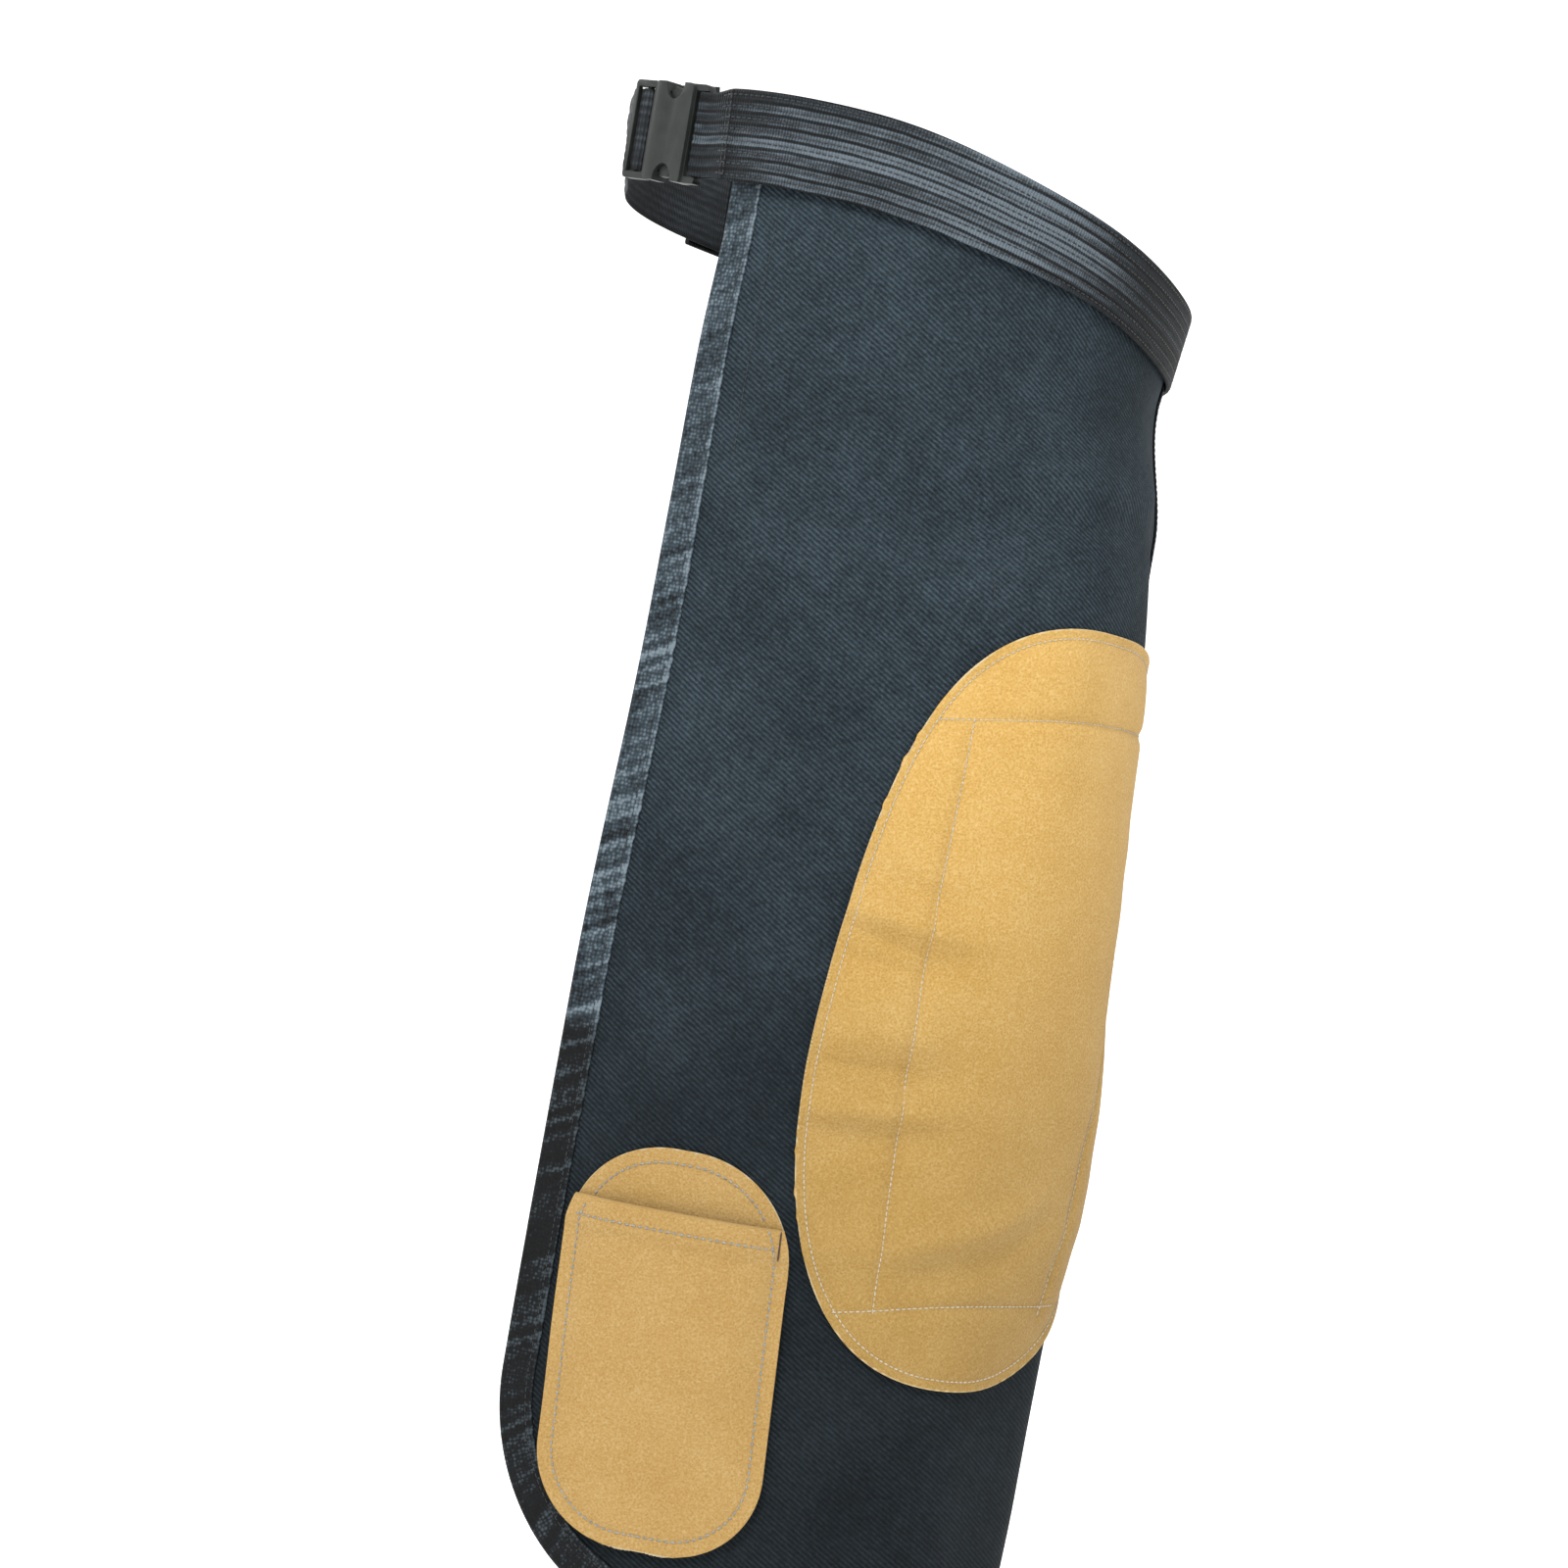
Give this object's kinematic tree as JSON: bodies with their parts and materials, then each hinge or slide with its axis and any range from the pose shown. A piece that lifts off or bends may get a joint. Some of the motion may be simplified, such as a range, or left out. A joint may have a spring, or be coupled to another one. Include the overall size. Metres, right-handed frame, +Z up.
{
  "type": "split-leg work apron",
  "caption": "Split-leg welding apron with a stitched waistband, side-release buckle, bound twill leg panels, leather knee patches and leather leg pockets.",
  "frame": {"origin": "centre of the waistband's ring, where the wearer's waist holds the apron", "axes": "+Z up along the standing wearer, -Y the way the wearer faces, -X the wearer's right"},
  "size_m": [0.3752, 0.3256, 0.7472],
  "materials": {
    "twill": "matt",
    "lining": "matt",
    "leather": "napped suede, matt",
    "band": "ribbed webbing",
    "tape": "woven tape",
    "elastic": "woven elastic",
    "plastic": "fine matt texture"
  },
  "bodies": {
    "waist": {"waistband": "band", "back_strap": "band", "belt_buckle_socket": "plastic", "right_panel_hip": "twill", "right_panel_fold": "twill", "right_edge_tape_hip": "tape", "right_edge_tape_fold": "tape", "right_split_tape_fold": "tape", "left_panel_hip": "twill", "left_panel_fold": "twill", "left_edge_tape_hip": "tape", "left_edge_tape_fold": "tape", "left_split_tape_fold": "tape"},
    "belt_plug": {"belt_buckle_plug": "plastic"},
    "belt_arm_upper": {"belt_buckle_arm_upper": "plastic"},
    "belt_arm_lower": {"belt_buckle_arm_lower": "plastic"},
    "right_leg": {"right_panel_leg": "twill", "right_edge_tape_leg": "tape", "right_knee_patch": "leather", "right_knee_lining": "lining", "right_pocket_backing": "leather", "right_pocket_front": "leather", "right_leg_buckle_socket": "plastic", "right_leg_strap_outer": "elastic", "right_leg_strap_inner": "elastic"},
    "right_leg_plug": {"right_leg_buckle_plug": "plastic"},
    "right_leg_arm_upper": {"right_leg_buckle_arm_upper": "plastic"},
    "right_leg_arm_lower": {"right_leg_buckle_arm_lower": "plastic"},
    "left_leg": {"left_panel_leg": "twill", "left_edge_tape_leg": "tape", "left_knee_patch": "leather", "left_knee_lining": "lining", "left_pocket_backing": "leather", "left_pocket_front": "leather", "left_leg_buckle_socket": "plastic", "left_leg_strap_outer": "elastic", "left_leg_strap_inner": "elastic"},
    "left_leg_plug": {"left_leg_buckle_plug": "plastic"},
    "left_leg_arm_upper": {"left_leg_buckle_arm_upper": "plastic"},
    "left_leg_arm_lower": {"left_leg_buckle_arm_lower": "plastic"}
  },
  "joints": [
    {"name": "right_leg_swing", "type": "hinge", "parent": "waist", "child": "right_leg", "pos_m": [-0.1, -0.0648, -0.115], "axis": [-1, 0, 0], "range_deg": [-12, 22], "deforming": ["right_panel_fold", "right_edge_tape_fold", "right_split_tape_fold"]},
    {"name": "left_leg_swing", "type": "hinge", "parent": "waist", "child": "left_leg", "pos_m": [0.1, -0.0648, -0.115], "axis": [-1, 0, 0], "range_deg": [-12, 22], "deforming": ["left_panel_fold", "left_edge_tape_fold", "left_split_tape_fold"]},
    {"name": "belt_plug_slide", "type": "slide", "parent": "waist", "child": "belt_plug", "axis": [0.6171, 0.7852, 0.0515], "range_m": [0, 0.03], "deforming": ["back_strap", "belt_buckle_arm_upper", "belt_buckle_arm_lower"]},
    {"name": "belt_arm_upper_squeeze", "type": "hinge", "parent": "belt_plug", "child": "belt_arm_upper", "pos_m": [-0.09857, 0.13169, 0.02574], "axis": [0.7825, -0.6193, 0.0652], "range_deg": [0, 7], "stiffness_Nm_per_rad": 0.4},
    {"name": "belt_arm_lower_squeeze", "type": "hinge", "parent": "belt_plug", "child": "belt_arm_lower", "pos_m": [-0.09634, 0.13169, -0.00097], "axis": [-0.7825, 0.6193, -0.0652], "range_deg": [0, 7], "stiffness_Nm_per_rad": 0.4},
    {"name": "right_leg_plug_slide", "type": "slide", "parent": "right_leg", "child": "right_leg_plug", "axis": [0.9848, -0.1736, 0], "range_m": [0, 0.022], "deforming": ["right_leg_strap_inner", "right_leg_buckle_arm_upper", "right_leg_buckle_arm_lower"]},
    {"name": "right_leg_arm_upper_squeeze", "type": "hinge", "parent": "right_leg_plug", "child": "right_leg_arm_upper", "pos_m": [-0.07509, 0.07302, -0.41596], "axis": [-0.1736, -0.9848, 0], "range_deg": [0, 7], "stiffness_Nm_per_rad": 0.12},
    {"name": "right_leg_arm_lower_squeeze", "type": "hinge", "parent": "right_leg_plug", "child": "right_leg_arm_lower", "pos_m": [-0.07509, 0.07302, -0.43204], "axis": [0.1736, 0.9848, 0], "range_deg": [0, 7], "stiffness_Nm_per_rad": 0.12},
    {"name": "left_leg_plug_slide", "type": "slide", "parent": "left_leg", "child": "left_leg_plug", "axis": [-0.9848, -0.1736, 0], "range_m": [0, 0.022], "deforming": ["left_leg_strap_inner", "left_leg_buckle_arm_upper", "left_leg_buckle_arm_lower"]},
    {"name": "left_leg_arm_upper_squeeze", "type": "hinge", "parent": "left_leg_plug", "child": "left_leg_arm_upper", "pos_m": [0.07509, 0.07302, -0.41596], "axis": [-0.1736, 0.9848, 0], "range_deg": [0, 7], "stiffness_Nm_per_rad": 0.12},
    {"name": "left_leg_arm_lower_squeeze", "type": "hinge", "parent": "left_leg_plug", "child": "left_leg_arm_lower", "pos_m": [0.07509, 0.07302, -0.43204], "axis": [0.1736, -0.9848, 0], "range_deg": [0, 7], "stiffness_Nm_per_rad": 0.12}
  ]
}
